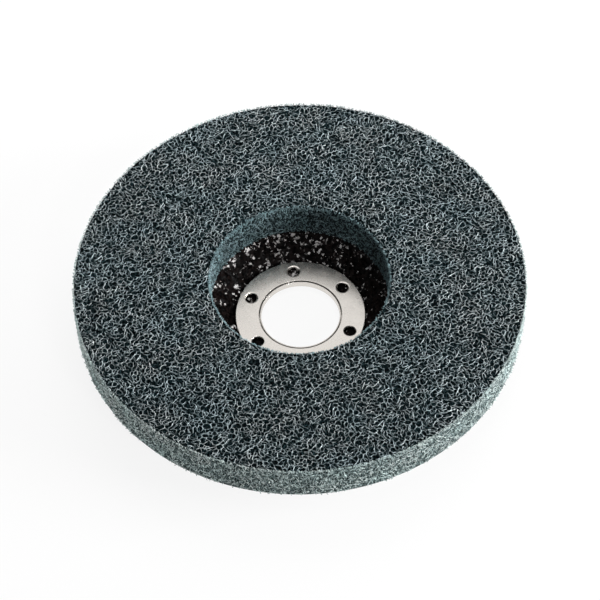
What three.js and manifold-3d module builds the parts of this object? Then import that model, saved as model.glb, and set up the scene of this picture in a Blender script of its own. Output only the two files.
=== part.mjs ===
// Non-woven polishing disc for an angle grinder: a thick ring of open abrasive web, bonded to a
// depressed-centre backing plate of glass cloth in black resin, with a steel ring on each side of
// the hub. Millimetres, +Z up. The origin is on the disc's axis, at the back of the rear ring,
// the face that the disc stands on. The working face looks up.
import * as THREE from "three";
import { mergeVertices, toCreasedNormals } from "three/addons/utils/BufferGeometryUtils.js";
import Module from "manifold-3d";

// Driving dimensions, the web pad
const padDiameter = 125;
const padHoleDiameter = 50.2;
const padThickness = 12.2;
const padEdgeRadius = 0.3;

// Driving dimensions, the backing plate
const plateDiameter = 107;
const plateThickness = 1.9;
const hubDrop = 5.55; // from the pad's seat down to the cloth round the front ring
const coneSlope = 42; // degrees from the hub's plane
const coneSetback = 0.5; // from the pad's hole out to the top of the cone
const coneFillet = 1.2; // inside the bends, the outside adds the plate's thickness
const plateRimRadius = 0.6;

// Driving dimensions, the open glass cloth that shows on the plate
const clothPitch = 5;
const clothWindow = 2.6; // across the square opening between yarns
const clothWindowDepth = 0.3;
const clothAngle = 15; // degrees from +X to a yarn
const clothMargin = 0.8; // from a window to the edge of the cloth's face

// Driving dimensions, the steel rings
const boreDiameter = 22.23;
const ringDiameter = 36.7;
const sheetThickness = 0.5;
const ringProud = 0.25; // of the cloth round it, on each side of the hub
const neckWall = 0.3; // thinner than the sheet that it is drawn from
const neckBend = 0.6; // outside the bend from the rear ring into its neck
const neckSetback = 0.15; // below the front ring's face
const edgeBreak = 0.15;

// Driving dimensions, the front ring's pierced eyelets
const eyeletCount = 6;
const eyeletCircleDiameter = 30.2;
const firstEyeletAngle = 36.4; // degrees from +X
const eyeletDiameter = 3.2;
const eyeletRoll = 0.45; // radius of the pressed-in mouth
const clawWall = 0.35;
const clawLength = 0.8; // below the ring's underside
const clawNotchDepth = 0.5;
const clawNotchWidth = 1.5;
const clawTeeth = 4; // torn by notches that run right across, so an even number
const coreDrop = 0.6; // the punched cloth inside an eyelet, below the ring's underside

// Clearances
const ringClearance = 0.3; // round the rings, the neck and the claws
const clawTipClearance = 0.15; // below the claws

// Smoothness
const discSegments = 64;
const eyeletSegments = 12;
const arcStep = 30; // degrees

// Heights that follow, from the back of the hub up
const pressedThickness = plateThickness - 2 * (sheetThickness - ringProud);
const rearRingFront = sheetThickness;
const frontRingBack = rearRingFront + pressedThickness;
const frontRingFace = frontRingBack + sheetThickness;
const hubBack = ringProud;
const hubFront = hubBack + plateThickness;
const padSeat = hubFront + hubDrop;
const workingFace = padSeat + padThickness;

// Radii that follow
const boreRadius = boreDiameter / 2;
const neckRadius = boreRadius + neckWall;
const neckHoleRadius = neckRadius + ringClearance;
const ringRadius = ringDiameter / 2;
const recessRadius = ringRadius + ringClearance;
const eyeletRadius = eyeletDiameter / 2;
const clawRadius = eyeletRadius + clawWall;

const wasm = await Module();
wasm.setup();

// A three.js geometry as a solid that can be joined and cut.
function solidFrom(geometry) {
  const bare = geometry.clone();
  bare.deleteAttribute("normal");
  bare.deleteAttribute("uv");
  const merged = mergeVertices(bare, 1e-4);
  return new wasm.Manifold(
    new wasm.Mesh({
      numProp: 3,
      vertProperties: merged.attributes.position.array,
      triVerts: new Uint32Array(merged.index.array),
    }),
  );
}

function geometryFrom(solid) {
  const mesh = solid.getMesh();
  const geometry = new THREE.BufferGeometry();
  geometry.setAttribute("position", new THREE.BufferAttribute(mesh.vertProperties, 3));
  geometry.setIndex(new THREE.BufferAttribute(mesh.triVerts, 1));
  return toCreasedNormals(geometry, Math.PI / 6);
}

// The arc that rounds one corner between its neighbours, as points.
function arcAt(corner, before, after, radius) {
  const toBefore = before.clone().sub(corner).normalize();
  const toAfter = after.clone().sub(corner).normalize();
  const halfAngle = toBefore.angleTo(toAfter) / 2;
  const inward = toBefore.clone().add(toAfter).normalize();
  const centre = corner.clone().addScaledVector(inward, radius / Math.sin(halfAngle));
  const reach = radius / Math.tan(halfAngle);
  const start = corner.clone().addScaledVector(toBefore, reach).sub(centre);
  const end = corner.clone().addScaledVector(toAfter, reach).sub(centre);
  const sweep = Math.atan2(start.cross(end), start.dot(end));
  const steps = Math.max(2, Math.round(Math.abs(sweep) / THREE.MathUtils.degToRad(arcStep)));
  const middle = new THREE.Vector2();
  return Array.from({ length: steps + 1 }, (_, i) =>
    start.clone().rotateAround(middle, (sweep * i) / steps).add(centre),
  );
}

// A profile of corners [radius, height, rounding], run anticlockwise and revolved about +Z.
function revolved(corners, segments = discSegments) {
  const at = (i) => new THREE.Vector2(...corners[(i + corners.length) % corners.length]);
  const points = corners.flatMap(([, , rounding = 0], i) =>
    rounding > 0 ? arcAt(at(i), at(i - 1), at(i + 1), rounding) : [at(i)],
  );
  const lathe = new THREE.LatheGeometry([...points, points[0].clone()], segments);
  return solidFrom(lathe.rotateX(Math.PI / 2));
}

function joined(solids) {
  return wasm.Manifold.union(solids);
}

// A copy of one solid at each eyelet, turned to face the axis.
function atEyelets(solid) {
  const copies = Array.from({ length: eyeletCount }, (_, i) => {
    const angle = firstEyeletAngle + (i * 360) / eyeletCount;
    return solid.translate([eyeletCircleDiameter / 2, 0, 0]).rotate([0, 0, angle]);
  });
  return joined(copies);
}

// The web pad, a plain ring with softly rounded edges on the working side.
function padSolid() {
  return revolved([
    [padDiameter / 2, padSeat],
    [padDiameter / 2, workingFace, padEdgeRadius],
    [padHoleDiameter / 2, workingFace, padEdgeRadius],
    [padHoleDiameter / 2, padSeat],
  ]);
}

// The openings between the cloth's yarns that lie whole between two radii, as tall square posts.
function clothPosts(innerRadius, outerRadius) {
  const halfDiagonal = clothWindow / Math.SQRT2;
  const reach = Math.ceil(outerRadius / clothPitch);
  const post = solidFrom(new THREE.BoxGeometry(clothWindow, clothWindow, 4 * workingFace));
  const posts = [];
  for (let column = -reach; column <= reach; column++) {
    for (let row = -reach; row <= reach; row++) {
      const x = (column + 0.5) * clothPitch;
      const y = (row + 0.5) * clothPitch;
      const radius = Math.hypot(x, y);
      if (radius - halfDiagonal > innerRadius && radius + halfDiagonal < outerRadius) {
        posts.push(post.translate([x, y, 0]));
      }
    }
  }
  return joined(posts).rotate([0, 0, clothAngle]);
}

// The well that one eyelet's claws stand in, round a core of pressed-down cloth.
function wellSolid() {
  const coreRadius = eyeletRadius - ringClearance;
  const wellRadius = clawRadius + ringClearance;
  const floor = frontRingBack - clawLength - clawTipClearance;
  return revolved(
    [
      [0, frontRingBack - coreDrop],
      [coreRadius, frontRingBack - coreDrop],
      [coreRadius, floor],
      [wellRadius, floor],
      [wellRadius, frontRingFace],
      [0, frontRingFace],
    ],
    eyeletSegments,
  );
}

// The backing plate. Its hub is recessed and pressed thin between the rings, with a well for the
// claws of each eyelet, and the cloth's openings are shallow square windows in the resin.
function plateSolid() {
  const slope = THREE.MathUtils.degToRad(coneSlope);
  const coneTop = padHoleDiameter / 2 + coneSetback;
  const coneFoot = coneTop - hubDrop / Math.tan(slope);
  const outerFillet = coneFillet + plateThickness;
  const rimRadius = plateDiameter / 2;
  const annulusBack = padSeat - plateThickness;
  // the cone's corners on a line that runs a given depth behind the front face
  const corner = (radius, depth) => radius + depth * Math.tan(slope / 2);
  const plate = revolved([
    [neckHoleRadius, rearRingFront],
    [recessRadius, rearRingFront],
    [recessRadius, hubBack],
    [corner(coneFoot, plateThickness), hubBack, outerFillet],
    [corner(coneTop, plateThickness), annulusBack, coneFillet],
    [rimRadius, annulusBack, plateRimRadius],
    [rimRadius, padSeat],
    [coneTop, padSeat, outerFillet],
    [coneFoot, hubFront, coneFillet],
    [recessRadius, hubFront],
    [recessRadius, frontRingBack],
    [neckHoleRadius, frontRingBack],
  ]);
  const backDepth = plateThickness - clothWindowDepth;
  const backSkin = revolved([
    [recessRadius, -plateThickness],
    [rimRadius, -plateThickness],
    [rimRadius, padSeat - backDepth],
    [corner(coneTop, backDepth), padSeat - backDepth, coneFillet + clothWindowDepth],
    [corner(coneFoot, backDepth), hubFront - backDepth, coneFillet + backDepth],
    [recessRadius, hubFront - backDepth],
  ]);
  const frontSkin = revolved([
    [recessRadius, hubFront - clothWindowDepth],
    [corner(coneFoot, clothWindowDepth), hubFront - clothWindowDepth, coneFillet],
    [corner(coneTop, clothWindowDepth), padSeat - clothWindowDepth],
    [corner(coneTop, clothWindowDepth), workingFace],
    [recessRadius, workingFace],
  ]);
  const backWindows = clothPosts(recessRadius + clothMargin, rimRadius - clothMargin);
  const frontWindows = clothPosts(recessRadius, coneTop);
  return plate
    .subtract(atEyelets(wellSolid()))
    .subtract(backWindows.intersect(backSkin))
    .subtract(frontWindows.intersect(frontSkin));
}

// What the tool punches at one eyelet: a round hole through the claws, with a rolled mouth.
function punchSolid() {
  const clear = frontRingFace + sheetThickness;
  const mouthRadius = eyeletRadius + eyeletRoll;
  const rollFoot = frontRingFace - eyeletRoll;
  const roll = Array.from({ length: 4 }, (_, i) => {
    const turn = THREE.MathUtils.degToRad(i * arcStep);
    return [mouthRadius - eyeletRoll * Math.cos(turn), rollFoot + eyeletRoll * Math.sin(turn)];
  });
  const corners = [[0, 0], [eyeletRadius, 0], ...roll, [mouthRadius, clear], [0, clear]];
  return revolved(corners, eyeletSegments);
}

// The notches that tear one eyelet's claws into pointed teeth.
function notchSolid() {
  const tip = frontRingBack - clawLength;
  const length = 4 * clawRadius;
  const vee = new THREE.Shape([
    new THREE.Vector2(-clawNotchWidth, -clawNotchDepth),
    new THREE.Vector2(clawNotchWidth, -clawNotchDepth),
    new THREE.Vector2(0, clawNotchDepth),
  ]);
  const prism = new THREE.ExtrudeGeometry(vee, { depth: length, bevelEnabled: false })
    .translate(0, 0, -length / 2)
    .rotateX(Math.PI / 2)
    .translate(0, 0, tip);
  const notches = Array.from({ length: clawTeeth / 2 }, (_, i) =>
    solidFrom(prism).rotate([0, 0, ((i + 0.5) * 360) / clawTeeth]),
  );
  return joined(notches);
}

// The front ring, with the torn claws of its eyelets below it.
function frontRingSolid() {
  const sheet = revolved([
    [neckHoleRadius, frontRingBack],
    [ringRadius, frontRingBack],
    [ringRadius, frontRingFace, edgeBreak],
    [neckHoleRadius, frontRingFace, edgeBreak],
  ]);
  const tip = frontRingBack - clawLength;
  const middle = frontRingBack + sheetThickness / 2;
  const claws = revolved(
    [
      [0, tip],
      [clawRadius - clawWall / 2, tip],
      [clawRadius, tip + clawNotchDepth],
      [clawRadius, middle],
      [0, middle],
    ],
    eyeletSegments,
  );
  return sheet
    .add(atEyelets(claws))
    .subtract(atEyelets(punchSolid()))
    .subtract(atEyelets(notchSolid()));
}

// The rear ring, with the neck that is drawn from it through the bore.
function rearRingSolid() {
  const neckTop = frontRingFace - neckSetback;
  return revolved([
    [boreRadius, 0, neckBend],
    [ringRadius, 0, edgeBreak],
    [ringRadius, rearRingFront],
    [neckRadius, rearRingFront],
    [neckRadius, neckTop],
    [boreRadius, neckTop],
  ]);
}

function webMaterial() {
  return new THREE.MeshStandardMaterial({ color: 0x5b696a, roughness: 0.95, metalness: 0 });
}

function resinMaterial() {
  return new THREE.MeshStandardMaterial({ color: 0x17120f, roughness: 0.3, metalness: 0 });
}

function steelMaterial() {
  return new THREE.MeshStandardMaterial({ color: 0xcfcac4, roughness: 0.35, metalness: 1 });
}

function named(name, solid, material) {
  const mesh = new THREE.Mesh(geometryFrom(solid), material);
  mesh.name = name;
  return mesh;
}

const disc = new THREE.Group();
disc.add(
  named("web_pad", padSolid(), webMaterial()),
  named("backing_plate", plateSolid(), resinMaterial()),
  named("front_ring", frontRingSolid(), steelMaterial()),
  named("rear_ring", rearRingSolid(), steelMaterial()),
);

export default disc;
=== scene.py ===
"""Non-woven polishing disc: an open web of curly abrasive fibres on a glass-cloth backing plate,
with a punched steel ring in front of the hub and a necked steel ring behind it."""
import math

import bpy
import numpy as np
from mathutils import Matrix, Vector
from mathutils.geometry import delaunay_2d_cdt, tessellate_polygon


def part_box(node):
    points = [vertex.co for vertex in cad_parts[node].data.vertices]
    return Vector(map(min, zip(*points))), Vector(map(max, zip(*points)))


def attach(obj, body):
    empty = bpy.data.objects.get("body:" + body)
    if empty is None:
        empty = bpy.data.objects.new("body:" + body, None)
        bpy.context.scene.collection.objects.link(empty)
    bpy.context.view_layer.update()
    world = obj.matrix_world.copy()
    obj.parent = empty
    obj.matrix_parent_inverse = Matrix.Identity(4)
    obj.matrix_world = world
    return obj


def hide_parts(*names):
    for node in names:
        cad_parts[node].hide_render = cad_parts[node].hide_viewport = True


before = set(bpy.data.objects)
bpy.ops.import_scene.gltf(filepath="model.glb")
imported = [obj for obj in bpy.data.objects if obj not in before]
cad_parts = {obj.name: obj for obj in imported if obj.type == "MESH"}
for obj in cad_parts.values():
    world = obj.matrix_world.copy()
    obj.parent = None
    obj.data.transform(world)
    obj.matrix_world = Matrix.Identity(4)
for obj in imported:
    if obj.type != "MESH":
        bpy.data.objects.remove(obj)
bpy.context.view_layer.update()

MM = 0.001

# The disc's sizes that the pieces below are built on, in metres
pad_low, pad_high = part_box("web_pad")
plate_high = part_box("backing_plate")[1]
FACE_Z = pad_high[2]
SEAT_Z = pad_low[2]
RIM_SPREAD = 0.2 * MM  # from the pad's solid out to the rim's fibres
RIM_R = pad_high[0] + RIM_SPREAD
HOLE_R = 25.1 * MM
HOLE_EDGE_R = 0.7 * MM  # rounds the hole's upper edge
EDGE_R = 0.25 * MM  # rounds the web's other edges

# The backing plate
PLATE_R = plate_high[0]
PLATE_WALL = 1.9 * MM
PLATE_RIM_ROUND = 0.6 * MM
CONE_TOP_R = 25.6 * MM
CONE_SLOPE = math.radians(42)
CONE_FILLET = 1.2 * MM
HUB_FRONT_Z = 2.15 * MM
HUB_R = 18.65 * MM
CLOTH_PITCH = 5.0 * MM
CLOTH_WINDOW = 2.6 * MM  # across the opening between yarns
CLOTH_DEPTH = 0.3 * MM
CLOTH_MARGIN = 0.5 * MM  # over which the cloth fades in from an edge
CLOTH_ANGLE = math.radians(15)

# The rings
RING_R = 18.35 * MM
RING_BREAK = 0.15 * MM
BACK_RING_Z = 0.5 * MM
RING_BACK_Z = 1.9 * MM
RING_FACE_Z = 2.4 * MM
BORE_R = 11.115 * MM
NECK_R = 11.415 * MM
NECK_HOLE_R = 11.715 * MM
NECK_TOP_Z = 2.25 * MM
NECK_BEND = 0.6 * MM
EYELETS = 6
EYELET_CIRCLE_R = 15.1 * MM
EYELET_TURN = math.radians(36.4)
EYELET_R = 1.6 * MM
EYELET_ROLL = 0.45 * MM
CLAW_WALL = 0.35 * MM
CLAW_LENGTH = 0.8 * MM
CLAW_NOTCH = 0.5 * MM
CLAW_CLEARANCE = 0.3 * MM
CLAW_TIP_CLEARANCE = 0.15 * MM
CORE_DROP = 0.6 * MM  # the punched cloth in an eyelet, below the front ring's back
EYELET_TEAR = 0.2 * MM  # how far an eyelet's wall is torn out of round

# The photo's camera, about the middle of the pad's working face
LENS_MM = 149.24
SENSOR_MM = 36.0
CAMERA_DISTANCE = 688.5 * MM
CAMERA_ELEVATION = math.radians(54.55)
CAMERA_ROLL = math.radians(-1.328)
CAMERA_AIM = Vector((-0.03 * MM, -5.04 * MM, FACE_Z - 3.59 * MM))

random = np.random.default_rng(7)


# Meshes

def new_object(name, points, faces, material, crease=None):
    """A smooth mesh object from an array of points and a list of arrays of faces, one array per
    size. Edges that bend more than the crease angle stay sharp."""
    mesh = bpy.data.meshes.new(name)
    mesh.vertices.add(len(points))
    mesh.vertices.foreach_set("co", np.asarray(points, np.float32).ravel())
    corners = np.concatenate([np.asarray(group, np.int32).ravel() for group in faces])
    totals = np.concatenate([np.full(len(group), np.shape(group)[1], np.int32) for group in faces])
    starts = np.concatenate([[0], np.cumsum(totals)[:-1]]).astype(np.int32)
    mesh.loops.add(len(corners))
    mesh.loops.foreach_set("vertex_index", corners)
    mesh.polygons.add(len(totals))
    mesh.polygons.foreach_set("loop_start", starts)
    mesh.polygons.foreach_set("use_smooth", np.full(len(totals), True))
    mesh.update(calc_edges=True)
    mesh.validate()
    if crease is not None:
        mesh.set_sharp_from_angle(angle=math.radians(crease))
    mesh.materials.append(material)
    piece = bpy.data.objects.new(name, mesh)
    bpy.context.scene.collection.objects.link(piece)
    return piece


def revolved(profile, segments):
    """Points and quads of a closed profile of (radius, height), run anticlockwise, turned about
    the disc's axis."""
    profile = np.asarray(profile)
    angle = np.arange(segments) * (2 * math.pi / segments)
    radius = profile[None, :, 0]
    points = np.stack(
        [
            radius * np.cos(angle)[:, None],
            radius * np.sin(angle)[:, None],
            np.broadcast_to(profile[None, :, 1], (segments, len(profile))),
        ],
        axis=-1,
    ).reshape(-1, 3)
    turn, row = np.meshgrid(np.arange(segments), np.arange(len(profile)), indexing="ij")
    next_turn = (turn + 1) % segments
    next_row = (row + 1) % len(profile)
    corners = [(turn, row), (next_turn, row), (next_turn, next_row), (turn, next_row)]
    quads = np.stack([(t * len(profile) + r).ravel() for t, r in corners], axis=-1)
    return points, quads


def rounded(corner, before, after, radius, steps):
    """The arc that rounds one corner of a profile, as points."""
    corner, before, after = (np.array(point, float) for point in (corner, before, after))
    to_before = (before - corner) / np.linalg.norm(before - corner)
    to_after = (after - corner) / np.linalg.norm(after - corner)
    half = math.acos(float(np.clip(to_before @ to_after, -1, 1))) / 2
    inward = (to_before + to_after) / np.linalg.norm(to_before + to_after)
    centre = corner + inward * radius / math.sin(half)
    start = corner + to_before * radius / math.tan(half) - centre
    end = corner + to_after * radius / math.tan(half) - centre
    first = math.atan2(start[1], start[0])
    sweep = math.atan2(start[0] * end[1] - start[1] * end[0], start @ end)
    turns = first + sweep * np.linspace(0, 1, steps)
    return [tuple(centre + radius * np.array([math.cos(t), math.sin(t)])) for t in turns]


def stepped(points, longest):
    """A line of points with none further apart than given."""
    dense = [points[0]]
    for start, end in zip(points, points[1:]):
        count = max(1, math.ceil(math.dist(start, end) / longest))
        shares = np.linspace(0, 1, count + 1)[1:]
        dense += [tuple(np.array(start) * (1 - share) + np.array(end) * share) for share in shares]
    return dense


# Fibres

def drifting_noise(fibres, points, reach):
    """Rows of noise of unit spread that drift slowly, over about reach points."""
    keep = math.exp(-1 / reach)
    rows = np.empty((fibres, points))
    rows[:, 0] = random.standard_normal(fibres)
    for k in range(1, points):
        fresh = random.standard_normal(fibres)
        rows[:, k] = keep * rows[:, k - 1] + math.sqrt(1 - keep * keep) * fresh
    return rows


def curly_paths(starts, points, step, curl, wander):
    """Plane curves from each start. Each fibre keeps a curl of its own and wanders from it."""
    fibres = len(starts)
    side = random.choice([-1.0, 1.0], fibres)
    own_curl = curl * side * random.uniform(0.0, 2.0, fibres)
    turn = own_curl[:, None] + wander * drifting_noise(fibres, points, 2.5)
    heading = random.uniform(0, 2 * math.pi, fibres)[:, None] + np.cumsum(turn * step, axis=1)
    moves = np.stack([np.cos(heading), np.sin(heading)], axis=-1) * step
    return starts[:, None, :] + np.cumsum(moves, axis=1)


def evenly_laid(paths, tries, cell, size):
    """One of every few tries, the path that runs where the fewest of those before it run. size is
    the width and height of the sheet that they lie on."""
    columns, rows = (math.ceil(length / cell) + 2 for length in size)
    laid = np.zeros((columns, rows))
    place = np.floor(paths / cell).astype(int) + 1
    column = np.clip(place[..., 0], 0, columns - 1)
    row = np.clip(place[..., 1], 0, rows - 1)
    chosen = []
    for first in range(0, len(paths), tries):
        near = slice(first, first + tries)
        crowding = (laid[column[near], row[near]] ** 2).mean(axis=1)
        best = first + int(np.argmin(crowding))
        np.add.at(laid, (column[best], row[best]), 1.0)
        chosen.append(best)
    return paths[chosen]


def fibre_object(name, paths, radii, facing, alive, material):
    """Closed three-sided tubes along rows of points, cut where a point isn't alive."""
    sides = 3
    along = np.gradient(paths, axis=1)
    along /= np.linalg.norm(along, axis=-1, keepdims=True)
    across = np.cross(along, facing)
    across /= np.linalg.norm(across, axis=-1, keepdims=True)
    above = np.cross(across, along)
    angle = np.arange(sides) * (2 * math.pi / sides) + math.pi / 2
    ring = (
        across[:, :, None, :] * np.cos(angle)[None, None, :, None]
        + above[:, :, None, :] * np.sin(angle)[None, None, :, None]
    )
    points = (paths[:, :, None, :] + radii[:, :, None, None] * ring).reshape(-1, 3)
    number = np.arange(alive.size * sides).reshape(*alive.shape, sides)
    linked = alive[:, :-1] & alive[:, 1:]
    here = number[:, :-1][linked]
    there = number[:, 1:][linked]
    next_side = np.roll(np.arange(sides), -1)
    quads = np.concatenate(
        [
            np.stack([here[:, s], here[:, t], there[:, t], there[:, s]], axis=1)
            for s, t in enumerate(next_side)
        ]
    )
    before = np.pad(linked, ((0, 0), (1, 0)))
    after = np.pad(linked, ((0, 0), (0, 1)))
    starts = number[after & ~before][:, ::-1]
    ends = number[before & ~after]
    used = np.zeros(len(points), bool)
    used[quads.ravel()] = True
    renumber = np.cumsum(used) - 1
    faces = [renumber[quads], renumber[starts], renumber[ends]]
    return new_object(name, points[used], faces, material)


def fibre_radii(fibres, points, radius):
    """Each fibre has its own thickness, with beads of resin along it."""
    own_spread = 0.2
    bead_height = 0.35
    own = radius * random.lognormal(0.0, own_spread, fibres)
    beads = 1 + bead_height * np.clip(drifting_noise(fibres, points, 1.0), 0, 2)
    return own[:, None] * beads


def in_ring(count, inner, outer):
    """Random points spread evenly over a flat ring."""
    radius = np.sqrt(random.uniform(inner**2, outer**2, count))
    angle = random.uniform(0, 2 * math.pi, count)
    return np.stack([radius * np.cos(angle), radius * np.sin(angle)], axis=-1)


def edge_drop(to_edge, radius):
    """How far a rounded edge falls away, at a distance from it."""
    into_edge = np.clip(radius - to_edge, 0, radius)
    return radius - np.sqrt(radius**2 - into_edge**2)


def flat_object(name, flat, depth, radii, material, inner, up):
    """Fibres that lie at given depths under a flat side of the web, cut off at its edges."""
    least_depth = 0.1 * MM
    cut_margin = 0.02 * MM
    reach = np.linalg.norm(flat, axis=-1)
    to_edge = np.minimum(reach - inner, RIM_R - reach)
    hole_edge_r = HOLE_EDGE_R if up > 0 else EDGE_R
    drop = edge_drop(reach - inner, hole_edge_r) + edge_drop(RIM_R - reach, EDGE_R)
    side_z = FACE_Z if up > 0 else SEAT_Z
    height = side_z - up * (np.maximum(depth, least_depth) + drop)
    paths = np.concatenate([flat, height[:, :, None]], axis=-1)
    facing = np.zeros_like(paths)
    facing[..., 2] = up
    return fibre_object(name, paths, radii, facing, to_edge > cut_margin, material)


def loose_fibres(name, fibres, top, bottom, radius, material, points, inner=HOLE_R, up=1):
    """Long fibres that wander over a flat side of the web. up is -1 on the plate's side."""
    tries = 6
    depth_drift = 0.2 * MM
    starts = in_ring(fibres * tries, inner, RIM_R)
    flat = curly_paths(starts + RIM_R, points, step=0.5 * MM, curl=140, wander=350)
    flat = evenly_laid(flat, tries, cell=0.8 * MM, size=(2 * RIM_R, 2 * RIM_R)) - RIM_R
    own_depth = random.uniform(top, bottom, fibres)[:, None]
    depth = own_depth + depth_drift * drifting_noise(fibres, points, 3.0)
    radii = fibre_radii(fibres, points, radius)
    return flat_object(name, flat, depth, radii, material, inner, up)


def cell_edges(outer, spacing, jitter):
    """The edges of an uneven net of cells over a disc: its nodes, and each edge's two nodes. The
    cells lie round the points of a triangular lattice, each shifted at random in x and in y by
    up to jitter times their spacing."""
    reach = math.ceil(outer / spacing) + 2
    columns = np.arange(-reach, reach + 1)
    rows = np.arange(-reach * 1.2, reach * 1.2).round()
    column, row = np.meshgrid(columns, rows)
    x = (column + 0.5 * (row % 2)) * spacing
    y = row * spacing * math.sqrt(0.75)
    sites = np.stack([x.ravel(), y.ravel()], axis=-1)
    sites += jitter * spacing * random.uniform(-1, 1, sites.shape)
    sites = sites[np.linalg.norm(sites, axis=1) < outer + 2 * spacing]
    built = delaunay_2d_cdt([Vector(site) for site in sites / MM], [], [], 0, 1e-5, False)
    corners = np.array([tuple(corner) for corner in built[0]]) * MM
    triangles = np.array(built[2])
    nodes = corners[triangles].mean(axis=1)
    sides = np.sort(triangles[:, [0, 1, 1, 2, 2, 0]].reshape(-1, 2), axis=1)
    code = sides[:, 0] * len(corners) + sides[:, 1]
    order = np.argsort(code, kind="stable")
    shared = code[order][1:] == code[order][:-1]
    pairs = np.stack([order[:-1][shared] // 3, order[1:][shared] // 3], axis=-1)
    return nodes, pairs


def bonded_net(name, spacing, top, bottom, radius, material, kept):
    """Crossing fibres, bonded where they meet, in one layer under the working face. Each runs
    straight through two nodes of the net, and a little past them."""
    overrun = 0.2
    nodes, pairs = cell_edges(RIM_R, spacing, jitter=0.8)
    node_depth = random.uniform(top, bottom, len(nodes))
    pairs = pairs[random.uniform(0, 1, len(pairs)) < kept]
    middle_r = np.linalg.norm(nodes[pairs].mean(axis=1), axis=1)
    pairs = pairs[(middle_r > HOLE_R) & (middle_r < RIM_R)]
    share = np.array([-overrun, 1 + overrun])
    start, end = nodes[pairs[:, 0]][:, None, :], nodes[pairs[:, 1]][:, None, :]
    flat = start * (1 - share[:, None]) + end * share[:, None]
    first, last = node_depth[pairs[:, 0]][:, None], node_depth[pairs[:, 1]][:, None]
    depth = first * (1 - share) + last * share
    radii = fibre_radii(len(pairs), len(share), radius)
    return flat_object(name, flat, depth, radii, material, HOLE_R, 1)


def on_wall(wall_r, outward, around, height, sunk):
    """Points sunk that much into a round wall and its rounded top edge, and the way out from the
    axis. outward is 1 where the wall faces away from the axis, and -1 where it faces the axis."""
    angle = around / wall_r
    out = np.stack([np.cos(angle), np.sin(angle), np.zeros_like(angle)], axis=-1)
    edge_r = EDGE_R if outward > 0 else HOLE_EDGE_R
    inset = sunk + edge_drop(FACE_Z - height, edge_r)
    paths = out * (wall_r - outward * inset)[..., None]
    paths[..., 2] = height
    return paths, out


def wall_fibres(name, fibres, wall_r, outward, radius, material):
    """Short cut fibres that lie in a round wall."""
    tries = 4
    points = 7
    deepest = 0.2 * MM
    depth_drift = 0.08 * MM
    least_depth = 0.02 * MM
    width = 2 * math.pi * wall_r
    tall = FACE_Z - SEAT_Z
    across = random.uniform(0, width, fibres * tries)
    starts = np.stack([across, random.uniform(0, tall, fibres * tries)], axis=1)
    flat = curly_paths(starts, points, step=0.32 * MM, curl=700, wander=1300)
    flat = evenly_laid(flat, tries, cell=0.5 * MM, size=(width, tall))
    own_depth = random.uniform(0.0, deepest, fibres)[:, None]
    depth = own_depth + depth_drift * drifting_noise(fibres, points, 2.0)
    sunk = np.maximum(depth, least_depth)
    up = flat[..., 1]
    paths, out = on_wall(wall_r, outward, flat[..., 0], SEAT_Z + up, sunk)
    alive = (up < tall - 0.1 * MM) & (up > 0.05 * MM)
    return fibre_object(name, paths, fibre_radii(fibres, points, radius), out, alive, material)


def fibre_ends(name, fibres, wall_r, outward, length, radius, material, low, high):
    """Cut ends of fibres that stand out of a round wall, between two heights, by up to their
    length. Each bends to one side as it leaves its root in the wall."""
    points = 3
    root = 0.2 * MM
    lean_spread = 0.7
    around = random.uniform(0, 2 * math.pi * wall_r, fibres)
    up = random.uniform(low, high, fibres)
    own_length = length * random.uniform(0.2, 1.0, fibres)
    lean = random.normal(0, lean_spread, (fibres, 2)) * own_length[:, None]
    travel = np.linspace(0, 1, points)[None, :]
    sideways = lean[:, None, :] * travel[:, :, None] ** 1.5
    sunk = root - (own_length + root)[:, None] * travel
    height = np.clip(up[:, None] + sideways[..., 1], SEAT_Z + 0.05 * MM, FACE_Z)
    paths, out = on_wall(wall_r, outward, around[:, None] + sideways[..., 0], height, sunk)
    upright = np.zeros_like(paths)
    upright[..., 2] = 1
    alive = np.ones((fibres, points), bool)
    return fibre_object(name, paths, fibre_radii(fibres, points, radius), upright, alive, material)


# Materials

def new_material(name):
    material = bpy.data.materials.new(name)
    material.use_nodes = True
    return material


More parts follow.
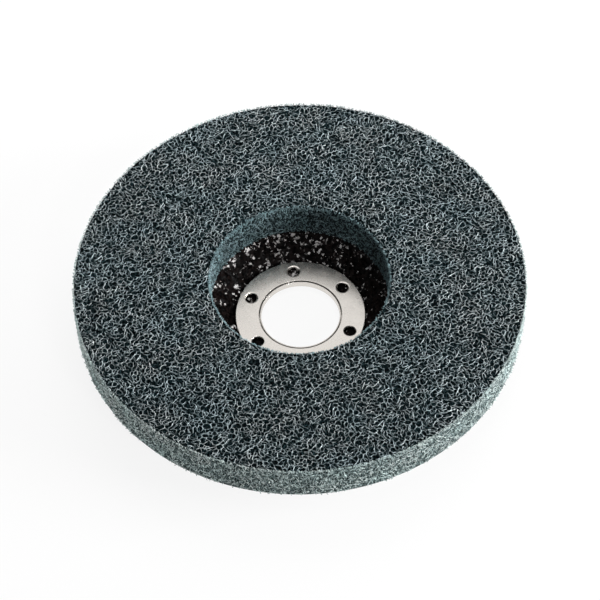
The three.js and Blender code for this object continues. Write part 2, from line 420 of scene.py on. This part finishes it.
class Nodes:
    """Short names for building one material's nodes."""

    def __init__(self, material):
        self.tree = material.node_tree
        self.shader = next(n for n in self.tree.nodes if n.type == "BSDF_PRINCIPLED")
        self.place = self.tree.nodes.new("ShaderNodeTexCoord").outputs["Object"]

    def add(self, kind, **inputs):
        """A new node, with its inputs given by name and _ for a space."""
        node = self.tree.nodes.new(kind)
        for key, value in inputs.items():
            self.set(node.inputs[key.replace("_", " ")], value)
        return node

    def set(self, socket, value):
        """Link or fill a socket, as the value is another socket or a constant."""
        if isinstance(value, bpy.types.NodeSocket):
            self.tree.links.new(value, socket)
        else:
            socket.default_value = value

    def noise(self, per_mm, detail=2.0, distortion=0.0):
        return self.add(
            "ShaderNodeTexNoise",
            Vector=self.place,
            Scale=per_mm / MM,
            Detail=detail,
            Distortion=distortion,
        ).outputs["Fac"]

    def plus(self, first, second):
        node = self.tree.nodes.new("ShaderNodeMath")
        self.set(node.inputs[0], first)
        self.set(node.inputs[1], second)
        return node.outputs[0]

    def vector_math(self, operation, *inputs):
        node = self.tree.nodes.new("ShaderNodeVectorMath")
        node.operation = operation
        for socket, value in zip(node.inputs, inputs):
            self.set(socket, value)
        return node.outputs[0]

    def warped_place(self, per_mm, reach):
        """The place on the object, shaken by noise."""
        shake = self.add("ShaderNodeTexNoise", Vector=self.place, Scale=per_mm / MM, Detail=2.0)
        return self.vector_math("MULTIPLY_ADD", shake.outputs["Color"], (reach,) * 3, self.place)

    def ramp(self, value, *stops):
        """A ramp of (place, level) stops, whose levels are colours or greys."""
        node = self.add("ShaderNodeValToRGB", Fac=value)
        elements = node.color_ramp.elements
        while len(elements) < len(stops):
            elements.new(0.5)
        for element, (place, level) in zip(elements, stops):
            element.position = place
            element.color = level if isinstance(level, tuple) else (level, level, level, 1.0)
        return node.outputs["Color"]

    def mix(self, share, first, second, blend="MIX"):
        node = self.tree.nodes.new("ShaderNodeMix")
        node.data_type = "RGBA"
        node.blend_type = blend
        self.set(node.inputs["Factor"], share)
        self.set(node.inputs[6], first)
        self.set(node.inputs[7], second)
        return node.outputs[2]

    def bump(self, height, distance, strength=1.0):
        node = self.add("ShaderNodeBump", Height=height, Distance=distance, Strength=strength)
        return node.outputs["Normal"]


def colour(red, green, blue):
    return (red, green, blue, 1.0)


def fibre_material(name, dark, light, tint, fade=0.0):
    """Resin-coated nylon fibre: each has a tone of its own between two greys, with fine grit, and
    patches of tint over a few millimetres. Where fade isn't 0, the fibres are painted darker the
    deeper they lie, down to that depth: painted shade for the light that deep fibres don't get."""
    material = new_material(name)
    nodes = Nodes(material)
    patches = nodes.ramp(nodes.noise(per_mm=0.12, detail=3.0), (0.35, 0.0), (0.65, 1.0))
    grit = nodes.ramp(nodes.noise(per_mm=1.6), (0.3, 0.0), (0.7, 1.0))
    own_tone = nodes.add("ShaderNodeNewGeometry").outputs["Random Per Island"]
    base = nodes.mix(nodes.mix(0.65, own_tone, grit), colour(*dark), colour(*light))
    base = nodes.mix(patches, base, nodes.mix(1.0, base, colour(*tint), "MULTIPLY"))
    if fade:
        # Painted shade: the fibres' colour darkens with their depth under the face, to near black at
        # the fade's depth
        split = nodes.add("ShaderNodeSeparateXYZ", Vector=nodes.place)
        height = nodes.add("ShaderNodeMapRange", Value=split.outputs["Z"],
                           From_Min=FACE_Z - fade, From_Max=FACE_Z - 0.1 * MM)
        deep = colour(0.002, 0.010, 0.013)
        shaded = colour(0.035, 0.078, 0.088)
        light_left = nodes.ramp(height.outputs[0], (0.0, deep), (0.68, shaded), (0.97, 1.0))
        base = nodes.mix(1.0, base, light_left, "MULTIPLY")
    nodes.set(nodes.shader.inputs["Base Color"], base)
    nodes.shader.inputs["Roughness"].default_value = 0.36
    nodes.shader.inputs["Specular IOR Level"].default_value = 0.05
    return material


def core_material(name, dark, light, per_mm):
    """The deeper web, seen between the fibres: a finer net over hollows in the dark colour. Where
    that colour is near black, it is painted shade for the light that doesn't reach so deep.
    """
    material = new_material(name)
    nodes = Nodes(material)
    place = nodes.warped_place(per_mm=0.9, reach=0.7 * MM)
    cells = nodes.add("ShaderNodeTexVoronoi", Vector=place, Scale=per_mm / MM)
    cells.feature = "DISTANCE_TO_EDGE"
    net = nodes.ramp(cells.outputs["Distance"], (0.0, 1.0), (0.16, 0.0))
    nodes.set(nodes.shader.inputs["Base Color"], nodes.mix(net, colour(*dark), colour(*light)))
    nodes.set(nodes.shader.inputs["Normal"], nodes.bump(net, 0.3 * MM))
    nodes.shader.inputs["Roughness"].default_value = 0.8
    nodes.shader.inputs["Specular IOR Level"].default_value = 0.05
    return material


def steel_material(name):
    """Satin rolled steel with a fine grain."""
    material = new_material(name)
    nodes = Nodes(material)
    grain = nodes.noise(per_mm=9.0)
    cloud = nodes.noise(per_mm=0.35, detail=3.0)
    share = nodes.ramp(grain, (0.3, 0.0), (0.7, 1.0))
    tone = nodes.mix(share, colour(0.70, 0.66, 0.615), colour(0.78, 0.745, 0.70))
    nodes.set(nodes.shader.inputs["Base Color"], tone)
    nodes.shader.inputs["Metallic"].default_value = 1.0
    nodes.set(nodes.shader.inputs["Roughness"], nodes.ramp(cloud, (0.3, 0.22), (0.7, 0.3)))
    nodes.set(nodes.shader.inputs["Normal"], nodes.bump(grain, 0.01 * MM, strength=0.6))
    return material


def resin_material(name):
    """Glossy black resin over glass cloth, broken into facets, with jagged pale flecks where the
    glass comes to the surface. The flecks are painted near white, so they also stand in as painted
    glints."""
    material = new_material(name)
    nodes = Nodes(material)
    cells_per_mm = 1.25
    lumps = nodes.noise(per_mm=0.9, detail=3.0, distortion=0.6)
    jagged = nodes.warped_place(per_mm=1.7, reach=1.5 * MM)
    cells = nodes.add("ShaderNodeTexVoronoi", Vector=jagged, Scale=cells_per_mm / MM)
    own = nodes.add("ShaderNodeSeparateColor", Color=cells.outputs["Color"])
    facets = nodes.vector_math("SUBTRACT", cells.outputs["Color"], (0.5, 0.5, 0.5))
    facets = nodes.vector_math("MULTIPLY", facets, (0.6, 0.6, 0.4))
    normal = nodes.vector_math("ADD", nodes.bump(lumps, 0.25 * MM), facets)

    # Where the resin is thin, made rarer at low Y and on faces that look down. The Y and facing
    # terms place the flecks, which are also painted glints, so they place painted light as well
    split = nodes.add("ShaderNodeSeparateXYZ", Vector=nodes.place)
    side = nodes.add("ShaderNodeMapRange", Value=split.outputs["Y"], From_Min=0.0,
                     From_Max=22 * MM, To_Min=-0.12, To_Max=0.02)
    facing = nodes.add("ShaderNodeSeparateXYZ")
    nodes.set(facing.inputs[0], nodes.add("ShaderNodeNewGeometry").outputs["True Normal"])
    front = nodes.add("ShaderNodeMapRange", Value=facing.outputs["Z"], From_Min=-0.2,
                      From_Max=0.2, To_Min=-0.07, To_Max=0.0)
    clouds = nodes.noise(per_mm=0.45, detail=5.0, distortion=1.0)
    thin = nodes.plus(clouds, nodes.plus(side.outputs[0], front.outputs[0]))
    glass_and_glint_patches = nodes.ramp(thin, (0.5, 0.0), (0.53, 1.0))

    # Some of the cells there are glass without resin, painted near white as glass and as painted
    # glints, and each cell has a tone of its own
    chosen = nodes.ramp(own.outputs["Red"], (0.66, 0.0), (0.68, 1.0))
    glass = nodes.mix(1.0, chosen, glass_and_glint_patches, "MULTIPLY")
    resin = nodes.ramp(own.outputs["Green"], (0.4, colour(0.0006, 0.0004, 0.0004)),
                       (1.0, colour(0.012, 0.0085, 0.008)))
    grain = nodes.mix(0.5, own.outputs["Blue"], nodes.noise(per_mm=2.2))
    glass_and_glint_tone = nodes.ramp(grain, (0.3, colour(0.05, 0.04, 0.038)), (0.7, colour(0.85, 0.83, 0.82)))
    nodes.set(nodes.shader.inputs["Base Color"], nodes.mix(glass, resin, glass_and_glint_tone))
    nodes.set(nodes.shader.inputs["Roughness"], nodes.ramp(lumps, (0.3, 0.12), (0.7, 0.2)))
    nodes.shader.inputs["Specular IOR Level"].default_value = 0.025
    nodes.set(nodes.shader.inputs["Normal"], nodes.vector_math("NORMALIZE", normal))
    return material


def finish_piece(piece, slot, *replaced):
    if replaced:
        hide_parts(*replaced)
    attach(piece, "root")


# The web pad: a core whose face is painted near black as shade between the fibres, and real fibres
# over every side of it

def build_core():
    """The ring of deep web that closes the view between the fibres. Its face is sunk and rough,
    and its sides stay near the web's own. The face's near-black colour is painted shade under the
    fibres, and the side in the hole takes a darker copy of the outer side's colours, as painted
    shade in the hole."""
    sink = 1.5 * MM
    inset = 0.22 * MM
    shoulder = 0.5 * MM
    near = 0.1 * MM
    roughness = 0.3 * MM
    roughest = 0.5 * MM
    face_rings, segments = 36, 240
    inner = HOLE_R + inset
    outer = RIM_R - inset
    floor_z = SEAT_Z + 0.02 * MM
    profile = [(inner, floor_z), (outer, floor_z), (outer, FACE_Z - shoulder)]
    face_radii = np.linspace(outer - shoulder, inner + shoulder, face_rings)
    profile += [(radius, FACE_Z - sink) for radius in face_radii]
    profile += [(inner, FACE_Z - shoulder)]
    points, quads = revolved(profile, segments)
    on_face = np.isclose(points[:, 2], FACE_Z - sink)
    rough = np.clip(roughness * random.standard_normal(len(points)), -roughest, roughest)
    points[on_face, 2] += rough[on_face]
    # The face's near-black colours are painted shade under the fibres
    deep = core_material("deep_web_painted_shade", (0.002, 0.004, 0.005), (0.012, 0.021, 0.023), 0.9)
    cut = core_material("cut_web", (0.004, 0.007, 0.007), (0.20, 0.27, 0.27), 1.7)
    # The hole's side takes a darker copy of the cut side's colours: painted shade in the hole
    bore = core_material("bore_web_painted_shade", (0.003, 0.006, 0.007), (0.06, 0.09, 0.10), 1.7)
    core = new_object("web_core", points, [quads], deep, 40)
    core.data.materials.append(cut)
    core.data.materials.append(bore)
    middles = points[quads].mean(axis=1)
    middle_r = np.linalg.norm(middles[:, :2], axis=1)
    in_hole = middle_r < inner + near
    cut_side = (middle_r > outer - near) | (middles[:, 2] < floor_z + near)
    slots = np.where(in_hole, 2, np.where(cut_side, 1, 0))
    core.data.polygons.foreach_set("material_index", slots.astype(np.int32))
    return core


def build_pad():
    """The core, and the fibres over it: loose ones on the face above three layers of net, loose
    ones on the back, short ones in both walls, and cut ends that stand out of the walls."""
    face_tint, cut_tint = (0.88, 0.98, 1.02), (0.9, 1.0, 1.0)
    fibre = fibre_material("face_fibre", (0.07, 0.098, 0.105), (0.83, 0.89, 0.90), face_tint,
                           fade=1.5 * MM)
    cut = fibre_material("cut_fibre", (0.09, 0.113, 0.113), (0.65, 0.715, 0.70), cut_tint)
    # The hole's fibres are a darker copy of the cut fibres on the rim: painted shade in the hole
    bore = fibre_material("bore_fibre_painted_shade", (0.008, 0.016, 0.019), (0.43, 0.59, 0.63), cut_tint)
    finish_piece(build_core(), "web", "web_pad")
    low, high = SEAT_Z + 0.1 * MM, FACE_Z - 0.1 * MM
    hole_high = FACE_Z - 0.2 * MM
    layers = [
        loose_fibres("web_fibres_top", 2000, top=0.1 * MM, bottom=0.3 * MM,
                     radius=0.082 * MM, material=fibre, points=6),
        bonded_net("web_net_top", spacing=1.2 * MM, top=0.12 * MM, bottom=0.5 * MM,
                   radius=0.082 * MM, material=fibre, kept=0.76),
        bonded_net("web_net_middle", spacing=1.2 * MM, top=0.45 * MM, bottom=0.9 * MM,
                   radius=0.085 * MM, material=fibre, kept=0.72),
        bonded_net("web_net_deep", spacing=1.4 * MM, top=0.95 * MM, bottom=1.4 * MM,
                   radius=0.12 * MM, material=fibre, kept=0.8),
        loose_fibres("web_fibres_back", 800, top=0.1 * MM, bottom=0.2 * MM,
                     radius=0.1 * MM, material=cut, points=10, inner=PLATE_R, up=-1),
        wall_fibres("web_rim_fibres", 2700, RIM_R, 1, radius=0.1 * MM, material=cut),
        fibre_ends("web_rim_ends", 4000, RIM_R, 1, length=0.4 * MM, radius=0.1 * MM,
                   material=cut, low=low, high=high),
        fibre_ends("web_rim_lip", 1500, RIM_R, 1, length=0.4 * MM, radius=0.09 * MM,
                   material=cut, low=FACE_Z - 0.6 * MM, high=FACE_Z - 0.05 * MM),
        wall_fibres("web_hole_fibres", 1100, HOLE_R, -1, radius=0.1 * MM, material=bore),
        fibre_ends("web_hole_ends", 2400, HOLE_R, -1, length=0.35 * MM, radius=0.1 * MM,
                   material=bore, low=low, high=hole_high),
        fibre_ends("web_hole_lip", 900, HOLE_R, -1, length=0.45 * MM, radius=0.1 * MM,
                   material=bore, low=FACE_Z - 1.6 * MM, high=hole_high),
    ]
    for piece in layers:
        finish_piece(piece, "web")


# The backing plate: glass cloth under resin, with the yarns standing out between their windows

def plate_section():
    """The plate's section, run anticlockwise from the pressed hub's front edge at the bore round
    the back to the front ring's recess."""
    back_step, front_step = 0.55 * MM, 0.35 * MM
    back_z = HUB_FRONT_Z - PLATE_WALL
    seat_back_z = SEAT_Z - PLATE_WALL
    foot_r = CONE_TOP_R - (SEAT_Z - HUB_FRONT_Z) / math.tan(CONE_SLOPE)
    shift = PLATE_WALL * math.tan(CONE_SLOPE / 2)
    hub_back = (HUB_R, back_z)
    hub_front = (HUB_R, HUB_FRONT_Z)
    back_foot = (foot_r + shift, back_z)
    back_top = (CONE_TOP_R + shift, seat_back_z)
    rim_low = (PLATE_R, seat_back_z)
    rim_high = (PLATE_R, SEAT_Z)
    front_top = (CONE_TOP_R, SEAT_Z)
    front_foot = (foot_r, HUB_FRONT_Z)
    bore = [(NECK_HOLE_R, RING_BACK_Z), (NECK_HOLE_R, BACK_RING_Z), (HUB_R, BACK_RING_Z)]
    back = [hub_back]
    back += rounded(back_foot, hub_back, back_top, CONE_FILLET + PLATE_WALL, 7)
    back += rounded(back_top, back_foot, rim_low, CONE_FILLET, 5)
    back += rounded(rim_low, back_top, rim_high, PLATE_RIM_ROUND, 5)
    front = rounded(front_top, rim_high, front_foot, CONE_FILLET + PLATE_WALL, 7)
    front += rounded(front_foot, front_top, hub_front, CONE_FILLET, 5)
    front += [hub_front]
    line = bore + stepped(back, back_step) + [rim_high] + stepped(front, front_step)
    return line + [(HUB_R, RING_BACK_Z)]


def woven_height(points):
    """How far the cloth's yarns stand up at each point, from 0 in its windows to 1. Each yarn
    goes over and under those that cross it."""
    crossing = 0.35
    cosine, sine = math.cos(CLOTH_ANGLE), math.sin(CLOTH_ANGLE)
    across = (points[:, 0] * cosine + points[:, 1] * sine) / CLOTH_PITCH
    along = (points[:, 1] * cosine - points[:, 0] * sine) / CLOTH_PITCH
    half = (1 - CLOTH_WINDOW / CLOTH_PITCH) / 2

    def yarn(offset, travel, side):
        nearest = np.round(offset)
        crown = np.sqrt(np.clip(1 - ((offset - nearest) / half) ** 2, 0, 1))
        over = np.cos(math.pi * travel) * np.where(nearest % 2 == 0, side, -side)
        return crown * (1 - crossing + crossing * over)

    return np.maximum(yarn(along, across, 1), yarn(across, along, -1))


def sunk_cloth(section, strip):
    """A turned section's points, with the cloth's windows pressed in where the cloth shows."""
    before = np.diff(section, axis=0, prepend=section[:1] - (section[1:2] - section[:1]))
    after = np.diff(section, axis=0, append=section[-1:] + (section[-1:] - section[-2:-1]))
    tangent = before / np.linalg.norm(before, axis=1, keepdims=True)
    tangent += after / np.linalg.norm(after, axis=1, keepdims=True)
    tangent /= np.linalg.norm(tangent, axis=1, keepdims=True)
    radius, height = section.T

    # A line that rises outward from the hub's front edge parts the section's front from its back
    rise = 0.2
    front = height > HUB_FRONT_Z + (radius - HUB_R) * rise - 0.01 * MM
    end_r = np.where(front, CONE_TOP_R, PLATE_R - PLATE_RIM_ROUND)
    shown = np.clip((radius - HUB_R) / CLOTH_MARGIN, 0, 1)
    shown *= np.clip((end_r - radius) / CLOTH_MARGIN, 0, 1)
    sunk = CLOTH_DEPTH * (1 - woven_height(strip.reshape(-1, 3)).reshape(strip.shape[:2]))
    sunk *= shown[:, None]
    out = strip[..., :2] / np.linalg.norm(strip[..., :2], axis=-1, keepdims=True)
    moved = strip.copy()
    moved[..., :2] -= out * (tangent[:, 1:] * sunk)[..., None]
    moved[..., 2] += tangent[:, :1] * sunk
    return moved


def turned_strip(rows, centre, segments):
    """Points of (radius, height) rows turned about a vertical line through centre, by row."""
    angle = np.arange(segments) * (2 * math.pi / segments)
    strip = np.empty((len(rows), segments, 3))
    for k, (radius, height) in enumerate(rows):
        strip[k, :, 0] = centre[0] + radius * np.cos(angle)
        strip[k, :, 1] = centre[1] + radius * np.sin(angle)
        strip[k, :, 2] = height
    return strip


def joined_strips(strips):
    """All the strips' points and quads, and the numbers of each strip's first and last row."""
    points = np.concatenate([strip.reshape(-1, 3) for strip in strips])
    quads, firsts, lasts = [], [], []
    count = 0
    for strip in strips:
        rows, segments = strip.shape[:2]
        grid = count + np.arange(rows * segments).reshape(rows, segments)
        turned = np.roll(grid, -1, axis=1)
        corners = [grid[:-1], turned[:-1], turned[1:], grid[1:]]
        quads.append(np.stack(corners, axis=-1).reshape(-1, 4))
        firsts.append(grid[0])
        lasts.append(grid[-1])
        count += rows * segments
    return points, np.concatenate(quads), firsts, lasts


def eyelet_centres():
    turns = EYELET_TURN + np.arange(EYELETS) * 2 * math.pi / EYELETS
    return [(EYELET_CIRCLE_R * math.cos(t), EYELET_CIRCLE_R * math.sin(t)) for t in turns]


def filled(points, loops, way):
    """Triangles that fill the first flat loop but for the others. way is 1 to face up."""
    numbers = np.concatenate(loops)
    outlines = [[Vector(points[i]) / MM for i in loop] for loop in loops]
    triangles = np.array(tessellate_polygon(outlines))
    corners = points[numbers[triangles]]
    lean = np.cross(corners[:, 1] - corners[:, 0], corners[:, 2] - corners[:, 0])[:, 2]
    triangles[lean * way < 0] = triangles[lean * way < 0][:, ::-1]
    return numbers[triangles]


def arc_rows(centre_r, centre_z, radius, first, last, steps):
    """Points of (radius, height) on an arc, from one angle in degrees to another."""
    turns = np.radians(np.linspace(first, last, steps))
    return [(centre_r + radius * math.cos(t), centre_z + radius * math.sin(t)) for t in turns]


def build_plate():
    """The plate, with a well round a pressed-down core of cloth at each eyelet."""
    plate_segments, well_segments = 384, 32
    core_bevel, core_dish, core_middle_r = 0.2 * MM, 0.15 * MM, 0.6 * MM
    section = np.array(plate_section())
    strips = [sunk_cloth(section, turned_strip(section, (0, 0), plate_segments))]
    well_r = EYELET_R + CLAW_WALL + CLAW_CLEARANCE
    core_r = EYELET_R - CLAW_CLEARANCE
    floor_z = RING_BACK_Z - CLAW_LENGTH - CLAW_TIP_CLEARANCE
    core_z = RING_BACK_Z - CORE_DROP
    well = [(well_r, RING_BACK_Z), (well_r, floor_z), (core_r, floor_z)]
    well += [(core_r, core_z - core_bevel), (core_r - core_bevel, core_z)]
    well += [(core_middle_r, core_z - core_dish)]
    for centre in eyelet_centres():
        strips.append(turned_strip(well, centre, well_segments))
    points, quads, firsts, lasts = joined_strips(strips)
    top = filled(points, [lasts[0], firsts[0]] + firsts[1:], 1)
    cores = [filled(points, [loop], 1) for loop in lasts[1:]]
    resin = resin_material("black_resin")
    plate = new_object("resin_plate", points, [quads, top, *cores], resin, 50)
    finish_piece(plate, "resin_cloth", "backing_plate")


def torn_eyelet(strip, centre):
    """An eyelet's rows with its wall torn out of round. The mouth's edge on the face stays round."""
    around = np.arange(strip.shape[1]) * (2 * math.pi / strip.shape[1])
    waves = np.arange(2, 6)[:, None]
    phases = random.uniform(0, 2 * math.pi, waves.shape)
    tear = (np.cos(waves * around + phases) / waves).sum(axis=0)
    tear *= EYELET_TEAR / np.abs(tear).max()
    share = np.clip((RING_FACE_Z - strip[..., 2]) / EYELET_ROLL, 0, 1)
    out = strip[..., :2] - centre
    out /= np.linalg.norm(out, axis=-1, keepdims=True)
    torn = strip.copy()
    torn[..., :2] += out * (tear * share)[..., None]
    return torn


def build_front_ring(material):
    """The punched ring: its outer and inner edges, and at each eyelet a rolled mouth and a thin
    wall that ends in notched claws. Flat faces join them on both sides."""
    support = 0.05 * MM
    outer_segments, inner_segments, eyelet_segments = 200, 160, 40
    tips = slice(-4, -2)  # of an eyelet's rows, the two at its claws' tips
    break_z = RING_FACE_Z - RING_BREAK
    outer = [(RING_R - RING_BREAK - support, RING_FACE_Z)]
    outer += arc_rows(RING_R - RING_BREAK, break_z, RING_BREAK, 90, 0, 5)
    outer += [(RING_R, RING_BACK_Z)]
    inner = [(NECK_HOLE_R + RING_BREAK + support, RING_FACE_Z)]
    inner += arc_rows(NECK_HOLE_R + RING_BREAK, break_z, RING_BREAK, 90, 180, 5)
    inner += [(NECK_HOLE_R, RING_BACK_Z)]
    mouth_r = EYELET_R + EYELET_ROLL
    claw_r = EYELET_R + CLAW_WALL
    tip_z = RING_BACK_Z - CLAW_LENGTH
    eyelet = [(mouth_r + support, RING_FACE_Z)]
    eyelet += arc_rows(mouth_r, RING_FACE_Z - EYELET_ROLL, EYELET_ROLL, 90, 180, 8)
    eyelet += [(EYELET_R, tip_z), (claw_r - CLAW_WALL / 2, tip_z), (claw_r, tip_z + CLAW_NOTCH)]
    eyelet += [(claw_r, RING_BACK_Z)]
    strips = [turned_strip(outer, (0, 0), outer_segments)[:, ::-1]]
    strips.append(turned_strip(inner, (0, 0), inner_segments))
    turns = np.arange(eyelet_segments) * (2 * math.pi / eyelet_segments)
    for centre in eyelet_centres():
        strip = turned_strip(eyelet, centre, eyelet_segments)
        around = turns - math.atan2(centre[1], centre[0])
        strip[tips, :, 2] += CLAW_NOTCH * np.abs(np.cos(2 * around))
        strips.append(torn_eyelet(strip, centre))
    points, quads, firsts, lasts = joined_strips(strips)
    faces = [quads, filled(points, firsts, 1), filled(points, lasts, -1)]
    ring = new_object("punched_ring", points, faces, material, 40)
    finish_piece(ring, "ring_steel", "front_ring")


def build_rear_ring(material):
    """The necked ring: a flat ring behind the hub, drawn round a bend into the bore's neck."""
    support = 0.1 * MM
    lip = 0.07 * MM
    segments = 200
    bend = arc_rows(BORE_R + NECK_BEND, NECK_BEND, NECK_BEND, 180, 270, 8)
    edge = arc_rows(RING_R - RING_BREAK, RING_BREAK, RING_BREAK, 270, 360, 5)
    outer_lip = arc_rows(NECK_R - lip, NECK_TOP_Z - lip, lip, 0, 90, 4)
    inner_lip = arc_rows(BORE_R + lip, NECK_TOP_Z - lip, lip, 90, 180, 4)
    profile = [(BORE_R, NECK_BEND + support)] + bend
    profile += [(BORE_R + NECK_BEND + support, 0.0), (RING_R - RING_BREAK - support, 0.0)] + edge
    profile += [(RING_R, BACK_RING_Z), (NECK_R, BACK_RING_Z), (NECK_R, NECK_TOP_Z - lip - support)]
    profile += outer_lip + inner_lip + [(BORE_R, NECK_TOP_Z - lip - support)]
    points, quads = revolved(profile, segments)
    ring = new_object("necked_ring", points, [quads], material, 40)
    finish_piece(ring, "ring_steel", "rear_ring")


# The studio

def softbox(name, azimuth, elevation, distance, size, power, mirrored=True):
    """A rectangular lamp that faces the disc from a distance in metres, at angles in degrees.
    Where it isn't mirrored, shiny pieces show the pale backdrop in its place."""
    light = bpy.data.lights.new(name, "AREA")
    light.shape = "RECTANGLE"
    light.size, light.size_y = size
    light.energy = power
    lamp = bpy.data.objects.new(name, light)
    lamp.visible_glossy = mirrored
    bpy.context.scene.collection.objects.link(lamp)
    turn, rise = math.radians(azimuth), math.radians(elevation)
    way = Vector((math.cos(rise) * math.cos(turn), math.cos(rise) * math.sin(turn), math.sin(rise)))
    lamp.location = way * distance
    lamp.rotation_euler = (-way).to_track_quat("-Z", "Y").to_euler()


def shown_ray(tree):
    """1 for the rays that show the backdrop: the camera's own, and those that a surface mirrors
    or lets through."""
    path = tree.nodes.new("ShaderNodeLightPath")
    shown = path.outputs["Is Camera Ray"]
    for kind in ("Is Glossy Ray", "Is Transmission Ray"):
        either = tree.nodes.new("ShaderNodeMath")
        either.operation = "MAXIMUM"
        tree.links.new(shown, either.inputs[0])
        tree.links.new(path.outputs[kind], either.inputs[1])
        shown = either.outputs[0]
    return shown


def build_studio():
    """A white backdrop that lights little, and soft lamps. Two of them stand low at the floor
    and light little but the rim and the floor."""
    world = bpy.data.worlds.new("studio")
    bpy.context.scene.world = world
    world.use_nodes = True
    tree = world.node_tree
    background = tree.nodes["Background"]
    background.inputs["Color"].default_value = colour(0.95, 0.98, 1.0)
    background.inputs["Strength"].default_value = 0.03
    backdrop = tree.nodes.new("ShaderNodeBackground")
    backdrop.inputs["Color"].default_value = colour(1, 1, 1)
    blend = tree.nodes.new("ShaderNodeMixShader")
    tree.links.new(shown_ray(tree), blend.inputs[0])
    tree.links.new(background.outputs[0], blend.inputs[1])
    tree.links.new(backdrop.outputs[0], blend.inputs[2])
    tree.links.new(blend.outputs[0], tree.nodes["World Output"].inputs["Surface"])
    low_elevation, low_size = 0.7, (0.5, 0.018)
    softbox("key", -10, 18, 0.8, size=(0.45, 0.3), power=11.8)
    softbox("back", 84, 42, 0.3, size=(0.35, 0.35), power=1.15, mirrored=False)
    softbox("overhead", 40, 80, 0.5, size=(0.35, 0.35), power=0.4, mirrored=False)
    softbox("low_front", -65, low_elevation, 0.8, size=low_size, power=4.1)
    softbox("low_left", 155, low_elevation, 0.8, size=low_size, power=11.2)
    softbox("front_spark", -62, 42, 0.8, size=(0.12, 0.12), power=1.2)
    softbox("left_spark", 188, 50, 0.8, size=(0.08, 0.08), power=0.06)


def build_floor():
    """A pale floor that keeps the disc's shadow, and turns plain white far away, where it meets the
    backdrop."""
    half = 4.0
    near, far = 0.15, 0.9
    near_level = 0.88
    points = np.array([(-half, -half, 0), (half, -half, 0), (half, half, 0), (-half, half, 0)])
    material = new_material("pale_floor")
    nodes = Nodes(material)
    nodes.shader.inputs["Base Color"].default_value = colour(0.85, 0.85, 0.85)
    nodes.shader.inputs["Roughness"].default_value = 0.9
    away = nodes.tree.nodes.new("ShaderNodeVectorMath")
    away.operation = "LENGTH"
    nodes.set(away.inputs[0], nodes.place)
    level = nodes.add("ShaderNodeMapRange", Value=away.outputs["Value"], From_Min=near,
                      From_Max=far, To_Min=near_level, To_Max=1.0)
    share = nodes.tree.nodes.new("ShaderNodeMath")
    share.operation = "MULTIPLY"
    nodes.set(share.inputs[0], shown_ray(nodes.tree))
    nodes.set(share.inputs[1], level.outputs[0])
    white = nodes.add("ShaderNodeEmission", Color=colour(1, 1, 1), Strength=1.0)
    blend = nodes.tree.nodes.new("ShaderNodeMixShader")
    nodes.set(blend.inputs[0], share.outputs[0])
    nodes.set(blend.inputs[1], nodes.shader.outputs[0])
    nodes.set(blend.inputs[2], white.outputs[0])
    output = next(n for n in nodes.tree.nodes if n.type == "OUTPUT_MATERIAL")
    nodes.set(output.inputs["Surface"], blend.outputs[0])
    new_object("floor", points, [np.array([[0, 1, 2, 3]])], material)


def build_camera():
    """The camera looks along +Y and down at the disc, and is rolled a little about its view."""
    camera_data = bpy.data.cameras.new("camera")
    camera_data.lens = LENS_MM
    camera_data.sensor_width = SENSOR_MM
    camera_data.clip_start = 10 * MM
    camera = bpy.data.objects.new("camera", camera_data)
    forward = Vector((0, math.cos(CAMERA_ELEVATION), -math.sin(CAMERA_ELEVATION)))
    right = Vector((1, 0, 0))
    up = right.cross(forward)
    rolled_right = right * math.cos(CAMERA_ROLL) + up * math.sin(CAMERA_ROLL)
    rolled_up = up * math.cos(CAMERA_ROLL) - right * math.sin(CAMERA_ROLL)
    turn = Matrix((rolled_right, rolled_up, -forward)).transposed().to_4x4()
    camera.matrix_world = Matrix.Translation(CAMERA_AIM - forward * CAMERA_DISTANCE) @ turn
    bpy.context.scene.collection.objects.link(camera)
    bpy.context.scene.camera = camera


build_camera()
build_studio()
build_floor()
build_pad()
build_plate()
steel = steel_material("satin_steel")
build_front_ring(steel)
build_rear_ring(steel)

bpy.context.scene.view_settings.view_transform = "Standard"
